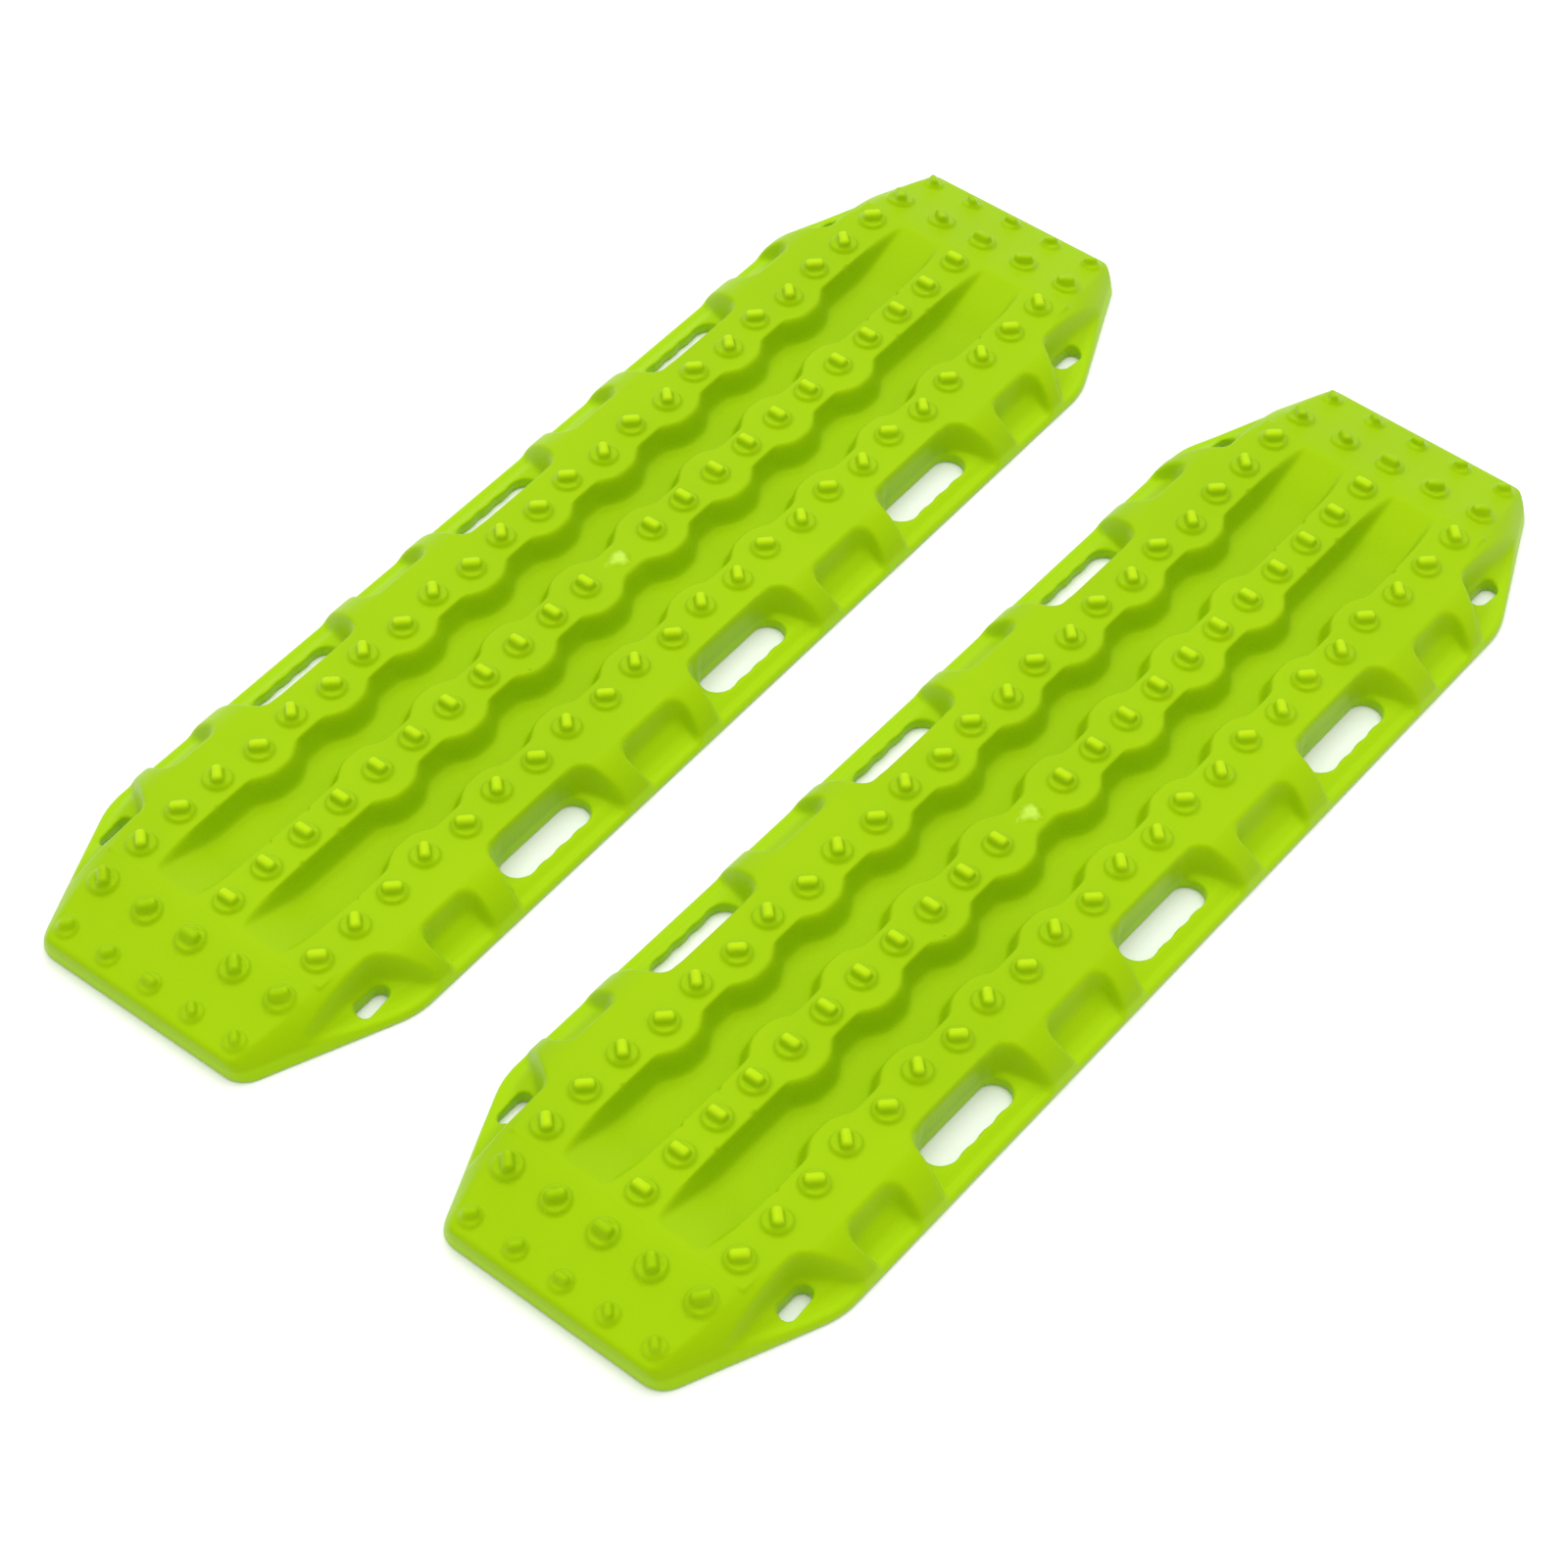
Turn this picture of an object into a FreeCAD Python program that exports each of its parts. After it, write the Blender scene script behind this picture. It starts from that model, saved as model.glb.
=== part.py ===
"""A pair of one-piece moulded traction boards at one-tenth scale, lying side by side.

Each board is modelled about its own centre: +X along the board, +Y across it, z = 0 on the underside.
It is symmetric about both vertical mid-planes, so most cuts are made in one quarter and mirrored.
All sizes are in millimetres.
"""

import FreeCAD, Part
import math
import os

from FreeCAD import Vector

# ---- driving dimensions -------------------------------------------------------------------------
PITCH = 4.25                     # distance from one stud to the next along the board
HALF_LENGTH = 57.2
HALF_WIDTH = 16.3
DECK_Z = 3.9                     # height of the flat deck above the underside
WALL = 1.1                       # moulded wall thickness

# plan outline
TIP_HALF_WIDTH = 2.46 * PITCH    # where the end edge meets the slanted corner edge
CORNER_X = 10.28 * PITCH         # where the slanted corner edge meets the long side
TIP_CORNER_RADIUS = 2.4
SIDE_CORNER_RADIUS = 8.0

# ends slope down from the deck to a blunt nose
RAMP_START_X = 11.45 * PITCH
TIP_Z = 2.2
NOSE_RADIUS = 0.6

# long sides and slanted edges: the deck rounds over a shoulder down to a thin rim
SHOULDER_Y = 2.95 * PITCH
SHOULDER_MID = (3.41 * PITCH, 3.05)
RIM_Z = 0.5
FLANGE_Z = 1.15                  # top of the thin flange inside the handle recesses

# two wavy grooves between the centre ridge and the side ridges
GROOVE_FLOOR_Z = 1.5
GROOVE_DRAFT = 0.62              # how far each groove wall leans in, from deck to floor
CENTRE_RIDGE_WAIST = 0.40 * PITCH
CENTRE_RIDGE_BULGE = 0.70 * PITCH
SIDE_RIDGE_WAIST = 1.71 * PITCH
SIDE_RIDGE_BULGE = 1.43 * PITCH
LAST_CENTRE_BULGE = 7            # in pitches from the middle; centre bulges are on odd pitches
LAST_SIDE_BULGE = 8              # side bulges are on even pitches
BULGE_REACH = 0.8                # a bulge runs this many pitches to each side of its middle
BULGE_FULLNESS = 1.475           # above 1 the crown is broader than a cosine's
BULGE_STEPS = 4                  # points along each flank of a bulge
GROOVE_RAMP_LOW_X = 9.8 * PITCH
GROOVE_RAMP_TOP_X = 11.3 * PITCH

# recesses along the long sides: (start, end) at the deck, then at the outer edge
RECESS_Y = 2.76 * PITCH
MIDDLE_RECESS = ((-1.38, 1.38), (-1.68, 1.68))
SIDE_RECESS = ((4.51, 7.16), (4.25, 7.50))
RECESS_DRAFT = 0.4               # of the two end walls
BACK_DRAFT_SHARE = 0.4           # the back wall leans this much as far as the end walls
RECESS_CORNER_RADIUS = 1.4
HANDLE_CENTRES = (-5.87, 0.0, 5.87)
SLOT_HALF_LENGTH = 1.125 * PITCH
SLOT_INNER_Y = 2.72 * PITCH
SLOT_OUTER_Y = 3.38 * PITCH
SLOT_CORNER_RADIUS = 1.4
FINGER_PITCH = 0.5 * PITCH
FINGER_RADIUS = 1.5
FINGER_DEPTH = 0.08

# shallow pockets between the handles
POCKET_Y = 2.99 * PITCH
INNER_POCKET = ((2.00, 3.85), (2.09, 3.72))
OUTER_POCKET = ((8.00, 9.50), (7.97, 9.32))
POCKET_BACK_Z = 2.3
POCKET_DRAFT = 0.5

# three-cornered pockets at the four corners, each with a rope hole
END_POCKET_Y = 2.77 * PITCH
END_POCKET_X = 10.30 * PITCH
END_POCKET_OUTER_X = 9.50 * PITCH
END_FLOOR_Z = 1.4
END_FLOOR_LOW_X = 10.9 * PITCH
END_FLOOR_TOP = (12.9 * PITCH, 2.4)
ROPE_HOLE_X = 10.72 * PITCH
ROPE_HOLE_Y = 3.12 * PITCH
ROPE_HOLE_RADIUS = 0.73
ROPE_HOLE_STRETCH = 1.8          # length of the straight part of the oval hole

# studs
STUD_RADIUS = 0.31 * PITCH
STUD_BASE_HEIGHT = 0.42
STUD_HEIGHT = 1.15
BLADE_FOOT = (1.65, 1.00)        # length and width at the foot
BLADE_CREST = (1.35, 0.42)       # length and width at the crest
STUD_SINK = 0.6                  # how far a stud reaches into the board
SIDE_ROW_Y = 2.14 * PITCH
SIDE_ROW_BULGE_Y = 2.03 * PITCH
LAST_STUD = 12                   # studs stand on every pitch from -12 to 12
END_ROW_STEP = 1.06 * PITCH
TIP_ROW_X = 13.07 * PITCH
TIP_ROW_STEP = 1.02 * PITCH
TIP_STUD_SCALE = 0.75
GATE_RADIUS = 0.9                # low witness of the moulding gate, in place of the middle stud
GATE_HEIGHT = 0.15

# layout of the pair
BOARD_STEP = Vector(-1.17, -42.43, 0.0)  # from the rear board's centre to the front board's
FRONT_BOARD_TURN = -1.20                 # degrees about the vertical

ABOVE = 10.0                     # any height well above the board
X_AXIS = Vector(1, 0, 0)
Y_AXIS = Vector(0, 1, 0)
Z_AXIS = Vector(0, 0, 1)
ORIGIN = Vector(0, 0, 0)


# ---- helpers ------------------------------------------------------------------------------------
def polygon(points):
    """Closed wire through the points."""
    return Part.makePolygon(list(points) + [points[0]])


def prism(points, direction):
    """Solid swept from a flat polygon along a direction."""
    return Part.Face(polygon(points)).extrude(direction)


def along_y(profile):
    """Solid with an (x, z) profile, wider than the board."""
    points = [Vector(x, -2 * HALF_WIDTH, z) for x, z in profile]
    return prism(points, Vector(0, 4 * HALF_WIDTH, 0))


def mirrored(shapes, normal):
    """The shapes and their mirror images across the middle plane with this normal."""
    return shapes + [shape.mirror(ORIGIN, normal) for shape in shapes]


def upright_edges(shape, test):
    """Edges that rise steeply and whose middle passes the test."""
    chosen = []
    for edge in shape.Edges:
        rise = edge.BoundBox.ZLength
        run = math.hypot(edge.BoundBox.XLength, edge.BoundBox.YLength)
        if rise > 2 * run and test(edge.BoundBox.Center):
            chosen.append(edge)
    return chosen


def oval(centre_x, centre_y, radius, straight, bottom, top):
    """Upright solid with an oval section, long along X."""
    half = straight / 2
    ends = [
        Part.makeCylinder(radius, top - bottom, Vector(centre_x + side * half, centre_y, bottom))
        for side in (-1, 1)
    ]
    middle = Part.makeBox(
        straight, 2 * radius, top - bottom, Vector(centre_x - half, centre_y - radius, bottom)
    )
    return middle.fuse(ends).removeSplitter()


def top_z(x):
    """Height of the deck or of the sloping end at this distance along the board."""
    if abs(x) <= RAMP_START_X:
        return DECK_Z
    fall = (DECK_Z - TIP_Z) / (HALF_LENGTH - RAMP_START_X)
    return DECK_Z - fall * (abs(x) - RAMP_START_X)


# ---- the moulded blank --------------------------------------------------------------------------
def blank():
    """Outline with blunt sloping ends and rounded-over sides, before any recess."""
    corners = [
        (HALF_LENGTH, -TIP_HALF_WIDTH),
        (HALF_LENGTH, TIP_HALF_WIDTH),
        (CORNER_X, HALF_WIDTH),
        (-CORNER_X, HALF_WIDTH),
        (-HALF_LENGTH, TIP_HALF_WIDTH),
        (-HALF_LENGTH, -TIP_HALF_WIDTH),
        (-CORNER_X, -HALF_WIDTH),
        (CORNER_X, -HALF_WIDTH),
    ]
    plan = prism([Vector(x, y, 0) for x, y in corners], Vector(0, 0, DECK_Z))
    at_tip = upright_edges(plan, lambda c: abs(c.x) > HALF_LENGTH - 1)
    plan = plan.makeFillet(TIP_CORNER_RADIUS, at_tip)
    at_side = upright_edges(plan, lambda c: abs(c.y) > HALF_WIDTH - 1)
    plan = plan.makeFillet(SIDE_CORNER_RADIUS, at_side)

    end_profile = [
        (-HALF_LENGTH, 0),
        (HALF_LENGTH, 0),
        (HALF_LENGTH, TIP_Z),
        (RAMP_START_X, DECK_Z),
        (-RAMP_START_X, DECK_Z),
        (-HALF_LENGTH, TIP_Z),
    ]
    lengthwise = along_y(end_profile)
    noses = [
        edge
        for edge in lengthwise.Edges
        if abs(edge.BoundBox.Center.z - TIP_Z) < 0.01 and edge.BoundBox.YLength > HALF_WIDTH
    ]
    lengthwise = lengthwise.makeFillet(NOSE_RADIUS, noses)
    shape = plan.common(lengthwise)

    along_side = shouldered_slab()
    along_slant = along_side.copy()
    slant = math.atan2(TIP_HALF_WIDTH - HALF_WIDTH, HALF_LENGTH - CORNER_X)
    along_slant.rotate(Vector(CORNER_X, HALF_WIDTH, 0), Z_AXIS, math.degrees(slant))
    slabs = mirrored([along_side], Y_AXIS) + mirrored(mirrored([along_slant], X_AXIS), Y_AXIS)
    for slab in slabs:
        shape = shape.common(slab)
    return shape


def shouldered_slab():
    """Slab much larger than the board, with the shoulder along its edge at +Y."""
    reach = 4 * HALF_LENGTH
    top = Vector(-reach, SHOULDER_Y, DECK_Z)
    middle = Vector(-reach, SHOULDER_MID[0], SHOULDER_MID[1])
    rim = Vector(-reach, HALF_WIDTH, RIM_Z)
    foot = Vector(-reach, HALF_WIDTH, 0)
    far_foot = Vector(-reach, -reach, 0)
    far_top = Vector(-reach, -reach, DECK_Z)
    edges = [
        Part.Arc(top, middle, rim).toShape(),
        Part.LineSegment(rim, foot).toShape(),
        Part.LineSegment(foot, far_foot).toShape(),
        Part.LineSegment(far_foot, far_top).toShape(),
        Part.LineSegment(far_top, top).toShape(),
    ]
    return Part.Face(Part.Wire(edges)).extrude(Vector(2 * reach, 0, 0))


# ---- grooves ------------------------------------------------------------------------------------
def wave_edge(waist, bulge, last_bulge, lean, z):
    """Edges from -X to +X along one side of a groove: straight, with a bulge at every other pitch."""
    end_x = GROOVE_RAMP_TOP_X + PITCH
    edges = []
    line_start = Vector(-end_x, waist + lean, z)
    for centre in range(-last_bulge, last_bulge + 1, 2):
        points = []
        for k in range(-BULGE_STEPS, BULGE_STEPS + 1):
            share = k / BULGE_STEPS
            swing = (1 + math.cos(math.pi * abs(share) ** BULGE_FULLNESS)) / 2
            y = waist + (bulge - waist) * swing + lean
            points.append(Vector((centre + BULGE_REACH * share) * PITCH, y, z))
        curve = Part.BSplineCurve()
        curve.interpolate(Points=points, InitialTangent=X_AXIS, FinalTangent=X_AXIS)
        edges += [Part.LineSegment(line_start, points[0]).toShape(), curve.toShape()]
        line_start = points[-1]
    line_end = Vector(end_x, waist + lean, z)
    return edges + [Part.LineSegment(line_start, line_end).toShape()]


def groove_outline(lean, z):
    """Closed outline of the groove on the +Y side; lean is how far its walls stand in."""
    inner = wave_edge(CENTRE_RIDGE_WAIST, CENTRE_RIDGE_BULGE, LAST_CENTRE_BULGE, lean, z)
    outer = wave_edge(SIDE_RIDGE_WAIST, SIDE_RIDGE_BULGE, LAST_SIDE_BULGE, -lean, z)
    right = Part.LineSegment(inner[-1].Vertexes[1].Point, outer[-1].Vertexes[1].Point).toShape()
    left = Part.LineSegment(outer[0].Vertexes[0].Point, inner[0].Vertexes[0].Point).toShape()
    return Part.Wire(inner + [right] + outer[::-1] + [left])


def groove():
    """Groove with leaning walls and a floor that ramps up to the deck at both ends."""
    height = DECK_Z - GROOVE_FLOOR_Z
    trough = Part.makeLoft(
        [
            groove_outline(GROOVE_DRAFT, GROOVE_FLOOR_Z),
            groove_outline(-GROOVE_DRAFT, DECK_Z + height),
        ],
        True,
        True,
    )
    rise = (DECK_Z - GROOVE_FLOOR_Z) / (GROOVE_RAMP_TOP_X - GROOVE_RAMP_LOW_X)
    far_x = GROOVE_RAMP_TOP_X + 2 * PITCH
    far_z = GROOVE_FLOOR_Z + rise * (far_x - GROOVE_RAMP_LOW_X)
    above_floor = along_y(
        [
            (-GROOVE_RAMP_LOW_X, GROOVE_FLOOR_Z),
            (GROOVE_RAMP_LOW_X, GROOVE_FLOOR_Z),
            (far_x, far_z),
            (-far_x, far_z),
        ]
    )
    return trough.common(above_floor)


# ---- recesses along the sides -------------------------------------------------------------------
def side_opening(span, back_y, draft, floor_z):
    """Drafted recess open to +Y; span gives its ends at the deck and at the outer edge, in pitches."""
    (deck_start, deck_end), (rim_start, rim_end) = span
    slope_start = (rim_start - deck_start) * PITCH / (HALF_WIDTH - back_y)
    slope_end = (rim_end - deck_end) * PITCH / (HALF_WIDTH - back_y)
    front_y = HALF_WIDTH + PITCH
    reach = front_y - back_y

    def outline(inset, z):
        return polygon(
            [
                Vector(deck_start * PITCH + inset, back_y + BACK_DRAFT_SHARE * inset, z),
                Vector(deck_end * PITCH - inset, back_y + BACK_DRAFT_SHARE * inset, z),
                Vector(deck_end * PITCH - inset + slope_end * reach, front_y, z),
                Vector(deck_start * PITCH + inset + slope_start * reach, front_y, z),
            ]
        )

    deck_height = DECK_Z - floor_z
    tool = Part.makeLoft([outline(draft, floor_z), outline(-draft, DECK_Z + deck_height)], True, True)
    back_corners = upright_edges(tool, lambda c: c.y < back_y + 1)
    return tool.makeFillet(RECESS_CORNER_RADIUS, back_corners)


def handle_slot(centre):
    """Finger slot with rounded corners and four shallow finger hollows in its outer edge."""
    x = centre * PITCH
    depth = SLOT_OUTER_Y - SLOT_INNER_Y
    slot = Part.makeBox(
        2 * SLOT_HALF_LENGTH, depth, ABOVE, Vector(x - SLOT_HALF_LENGTH, SLOT_INNER_Y, -1)
    )
    slot = slot.makeFillet(SLOT_CORNER_RADIUS, upright_edges(slot, lambda c: True))
    hollow_y = SLOT_OUTER_Y + FINGER_DEPTH - FINGER_RADIUS
    hollows = [
        Part.makeCylinder(FINGER_RADIUS, ABOVE, Vector(x + step * FINGER_PITCH, hollow_y, -1))
        for step in (-1.5, -0.5, 0.5, 1.5)
    ]
    inside = Part.makeBox(
        2 * SLOT_HALF_LENGTH, HALF_WIDTH, ABOVE, Vector(x - SLOT_HALF_LENGTH, SLOT_INNER_Y, -1)
    )
    return slot.fuse([hollow.common(inside) for hollow in hollows])


def shallow_pocket(span):
    """Pocket whose floor slopes down from its back wall to the rim."""
    opening = side_opening(span, POCKET_Y, POCKET_DRAFT, RIM_Z)
    floor_slope = (POCKET_BACK_Z - FLANGE_Z) / (HALF_WIDTH - POCKET_Y)
    front_y = HALF_WIDTH + 2 * PITCH
    front_z = POCKET_BACK_Z - floor_slope * (front_y - POCKET_Y)
    back_z = POCKET_BACK_Z + floor_slope * PITCH
    side_view = [
        Vector(-HALF_LENGTH, POCKET_Y - PITCH, back_z),
        Vector(-HALF_LENGTH, front_y, front_z),
        Vector(-HALF_LENGTH, front_y, ABOVE),
        Vector(-HALF_LENGTH, POCKET_Y - PITCH, ABOVE),
    ]
    return opening.common(prism(side_view, Vector(2 * HALF_LENGTH, 0, 0)))


def end_pocket():
    """Three-cornered pocket whose floor rises towards the tip."""
    far_x = HALF_LENGTH + PITCH
    far_y = HALF_WIDTH + PITCH
    slant = (END_POCKET_X - END_POCKET_OUTER_X) / (HALF_WIDTH - END_POCKET_Y)
    plan = [
        Vector(END_POCKET_X, END_POCKET_Y, 0),
        Vector(far_x, END_POCKET_Y, 0),
        Vector(far_x, far_y, 0),
        Vector(END_POCKET_X - slant * (far_y - END_POCKET_Y), far_y, 0),
    ]
    opening = prism(plan, Vector(0, 0, ABOVE))
    inner_corner = upright_edges(
        opening, lambda c: c.y < END_POCKET_Y + 0.1 and c.x < END_POCKET_X + 0.1
    )
    opening = opening.makeFillet(RECESS_CORNER_RADIUS, inner_corner)
    top_x, floor_top_z = END_FLOOR_TOP
    rise = (floor_top_z - END_FLOOR_Z) / (top_x - END_FLOOR_LOW_X)
    above_floor = along_y(
        [
            (0, END_FLOOR_Z),
            (END_FLOOR_LOW_X, END_FLOOR_Z),
            (far_x, END_FLOOR_Z + rise * (far_x - END_FLOOR_LOW_X)),
            (far_x, ABOVE),
            (0, ABOVE),
        ]
    )
    return opening.common(above_floor)


def rope_hole():
    """Oval hole through the flange in an end pocket."""
    return oval(ROPE_HOLE_X, ROPE_HOLE_Y, ROPE_HOLE_RADIUS, ROPE_HOLE_STRETCH, -1, ABOVE)


def side_cuts():
    """Every cut along the long sides of the board."""
    middle = [side_opening(MIDDLE_RECESS, RECESS_Y, RECESS_DRAFT, FLANGE_Z)]
    middle += [handle_slot(centre) for centre in HANDLE_CENTRES]
    quarter = [
        side_opening(SIDE_RECESS, RECESS_Y, RECESS_DRAFT, FLANGE_Z),
        shallow_pocket(INNER_POCKET),
        shallow_pocket(OUTER_POCKET),
        end_pocket(),
        rope_hole(),
    ]
    return mirrored(middle + mirrored(quarter, X_AXIS), Y_AXIS)


# ---- underside ----------------------------------------------------------------------------------
def underside_cuts():
    """Hollows that leave a wall of about one thickness under the deck, the grooves and the ends."""
    plate_z = GROOVE_FLOOR_Z - WALL
    ridge_z = DECK_Z - WALL
    inner_y = RECESS_Y - WALL
    channel_x = RAMP_START_X
    plate = Part.makeBox(2 * channel_x, 2 * inner_y, plate_z + 1, Vector(-channel_x, -inner_y, -1))
    centre_half = CENTRE_RIDGE_WAIST + GROOVE_DRAFT / 2 - WALL
    centre = Part.makeBox(
        2 * channel_x, 2 * centre_half, ridge_z + 1, Vector(-channel_x, -centre_half, -1)
    )
    side_start = SIDE_RIDGE_WAIST - GROOVE_DRAFT / 2 + WALL
    side = Part.makeBox(
        2 * channel_x, inner_y - side_start, ridge_z + 1, Vector(-channel_x, side_start, -1)
    )
    end_x = HALF_LENGTH - WALL
    end_half = TIP_HALF_WIDTH - 1.5 * WALL
    end_points = [
        Vector(channel_x, -end_half, -1),
        Vector(end_x, -end_half, -1),
        Vector(end_x, -end_half, top_z(end_x) - WALL),
        Vector(channel_x, -end_half, ridge_z),
    ]
    end = prism(end_points, Vector(0, 2 * end_half, 0))
    return [plate, centre] + mirrored([side], Y_AXIS) + mirrored([end], X_AXIS)


# ---- studs --------------------------------------------------------------------------------------
def stud(x, y, angle, scale=1.0):
    """Round foot carrying a wedge-shaped blade; angle is the blade's direction from +X."""
    foot = Part.makeCylinder(STUD_RADIUS * scale, STUD_SINK + STUD_BASE_HEIGHT * scale)

    def rectangle(size, z):
        half_l = size[0] * scale / 2
        half_w = size[1] * scale / 2
        corners = [(-half_l, -half_w), (half_l, -half_w), (half_l, half_w), (-half_l, half_w)]
        return polygon([Vector(cx, cy, z) for cx, cy in corners])

    crest_z = STUD_SINK + STUD_HEIGHT * scale
    blade = Part.makeLoft([rectangle(BLADE_FOOT, 0), rectangle(BLADE_CREST, crest_z)], True, True)
    shape = foot.fuse(blade)
    shape.rotate(ORIGIN, Z_AXIS, angle)
    shape.translate(Vector(x, y, top_z(x) - STUD_SINK))
    return shape


def side_blade_angle(index, row):
    """Blades of the side rows alternate, mirrored from one half of the board to the other."""
    lean = -45 if index % 2 == 0 else 45
    if index > 0:
        lean = -lean
    if abs(index) == LAST_STUD:
        lean = 45
    return lean * row


def studs():
    """All studs of one board, with the gate witness in the middle."""
    made = [Part.makeCylinder(GATE_RADIUS, STUD_SINK + GATE_HEIGHT, Vector(0, 0, DECK_Z - STUD_SINK))]
    for index in range(-LAST_STUD, LAST_STUD + 1):
        x = index * PITCH
        on_bulge = index % 2 == 0 and abs(index) <= LAST_SIDE_BULGE
        row_y = SIDE_ROW_BULGE_Y if on_bulge else SIDE_ROW_Y
        for row in (-1, 1):
            made.append(stud(x, row * row_y, side_blade_angle(index, row)))
        if index != 0:
            made.append(stud(x, 0, 90))
    for end in (-1, 1):
        for row in (-1, 1):
            made.append(stud(end * LAST_STUD * PITCH, row * END_ROW_STEP, 45 * row * end))
        for step in range(-2, 3):
            angle = 90 if step == 0 else math.copysign(45, step * end)
            made.append(stud(end * TIP_ROW_X, step * TIP_ROW_STEP, angle, TIP_STUD_SCALE))
    return made


# ---- assembly -----------------------------------------------------------------------------------
def board():
    """One board as a single solid about its own centre."""
    shape = blank()
    shape = shape.cut(mirrored([groove()], Y_AXIS))
    shape = shape.cut(side_cuts())
    shape = shape.cut(underside_cuts())
    shape = shape.fuse(studs()).removeSplitter()
    return shape.Solids[0] if len(shape.Solids) == 1 else shape


def placed_pair():
    """The two boards, moved so that the middle of their common box stands on the origin."""
    rear = board()
    front = rear.copy()
    front.rotate(ORIGIN, Z_AXIS, FRONT_BOARD_TURN)
    front.translate(BOARD_STEP)
    box = Part.makeCompound([rear, front]).optimalBoundingBox(False)
    shift = Vector(-box.Center.x, -box.Center.y, -box.ZMin)
    rear.translate(shift)
    front.translate(shift)
    return {"rear_board": rear, "front_board": front}


def main():
    os.makedirs("parts", exist_ok=True)
    for name, shape in placed_pair().items():
        box = shape.BoundBox
        print(name, shape.ShapeType, len(shape.Solids), shape.isValid(), round(shape.Volume, 1), box)
        shape.exportStep("parts/" + name + ".step")


main()
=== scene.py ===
"""A pair of lime green moulded traction boards at one-tenth scale, seen as they lie in a bright studio.

The CAD model gives each board's place and size. The visible skin of a board is built here as one
soft-edged moulding: a height field for the studded face, another for the underside, and a plan outline
with its slots, turned into a mesh and shown in place of the CAD solid. Lengths in this file are in
millimetres until a mesh is placed; Blender objects, materials and lights are in metres.
"""

import math

import bpy
import numpy as np
from mathutils import Euler, Matrix, Vector


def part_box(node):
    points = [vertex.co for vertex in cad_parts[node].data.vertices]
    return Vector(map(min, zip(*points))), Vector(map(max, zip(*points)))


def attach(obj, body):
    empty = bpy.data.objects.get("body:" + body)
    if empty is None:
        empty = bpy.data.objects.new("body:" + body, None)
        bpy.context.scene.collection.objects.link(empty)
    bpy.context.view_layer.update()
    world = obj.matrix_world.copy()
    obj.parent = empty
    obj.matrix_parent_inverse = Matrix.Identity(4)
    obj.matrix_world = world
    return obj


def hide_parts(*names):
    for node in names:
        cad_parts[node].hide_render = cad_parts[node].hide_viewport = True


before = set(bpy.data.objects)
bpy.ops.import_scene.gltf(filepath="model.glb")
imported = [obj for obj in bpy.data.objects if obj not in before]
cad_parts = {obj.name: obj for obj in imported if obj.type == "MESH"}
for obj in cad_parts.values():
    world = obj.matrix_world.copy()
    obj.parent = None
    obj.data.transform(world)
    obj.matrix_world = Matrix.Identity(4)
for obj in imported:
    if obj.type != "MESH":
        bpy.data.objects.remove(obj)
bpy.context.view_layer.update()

MM = 0.001

# ---- the board's own dimensions, as in the CAD model ---------------------------------------------
PITCH = 4.25
HALF_LENGTH = 57.2
HALF_WIDTH = 16.3
DECK_Z = 3.9
WALL = 1.1
TIP_HALF_WIDTH = 2.46 * PITCH
CORNER_X = 10.28 * PITCH
TIP_CORNER_RADIUS = 2.4
SIDE_CORNER_RADIUS = 8.0
RAMP_START_X = 11.45 * PITCH
TIP_Z = 2.2
SHOULDER_Y = 2.95 * PITCH
SHOULDER_MID = (3.41 * PITCH, 3.05)
RIM_Z = 0.5
FLANGE_Z = 1.15
FLANGE_FALL = (1.8, 0.7)                # from here to here inside the outline the flange thins
FLANGE_EDGE_Z = 0.55
LIP_INSET = 0.45                        # a low rounded lip runs just inside the outline
LIP_Z = 0.78

GROOVE_FLOOR_Z = 1.5
GROOVE_DRAFT = 0.62
CENTRE_RIDGE_WAIST = 0.40 * PITCH
CENTRE_RIDGE_BULGE = 0.70 * PITCH
SIDE_RIDGE_WAIST = 1.71 * PITCH
SIDE_RIDGE_BULGE = 1.43 * PITCH
LAST_CENTRE_BULGE = 7
LAST_SIDE_BULGE = 8
BULGE_REACH = 0.8                       # in pitches, to each side of a bulge's middle
BULGE_FULLNESS = 1.475                  # above 1 the crown is broader than a cosine's
GROOVE_RAMP_LOW_X = 9.8 * PITCH
GROOVE_RAMP_TOP_X = 11.3 * PITCH

RECESS_Y = 2.76 * PITCH
MIDDLE_RECESS = ((-1.38, 1.38), (-1.68, 1.68))
SIDE_RECESS = ((4.51, 7.16), (4.25, 7.50))
RECESS_DRAFTS = (0.15, 0.40)            # of the back wall and of the two end walls
RECESS_CORNER_RADIUS = 1.4
HANDLE_CENTRES = (-5.87, 0.0, 5.87)
SLOT_HALF_LENGTH = 1.125 * PITCH
SLOT_INNER_Y = 2.72 * PITCH
SLOT_OUTER_Y = 3.38 * PITCH
SLOT_CORNER_RADIUS = 1.4
FINGER_PITCH = 0.5 * PITCH
FINGER_RADIUS = 1.5
FINGER_DEPTH = 0.08
POCKET_Y = 2.99 * PITCH
INNER_POCKET = ((2.00, 3.85), (2.09, 3.72))
OUTER_POCKET = ((8.00, 9.50), (7.97, 9.32))
POCKET_BACK_Z = 2.3
POCKET_DRAFTS = (0.6, 0.5)
END_POCKET_Y = 2.77 * PITCH
END_POCKET_X = 10.30 * PITCH
END_POCKET_OUTER_X = 9.50 * PITCH
END_POCKET_DRAFT = 0.35
END_FLOOR_Z = 1.4
END_FLOOR_LOW_X = 10.9 * PITCH
END_FLOOR_TOP = (12.9 * PITCH, 2.4)
ROPE_HOLE_X = 10.72 * PITCH
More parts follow.
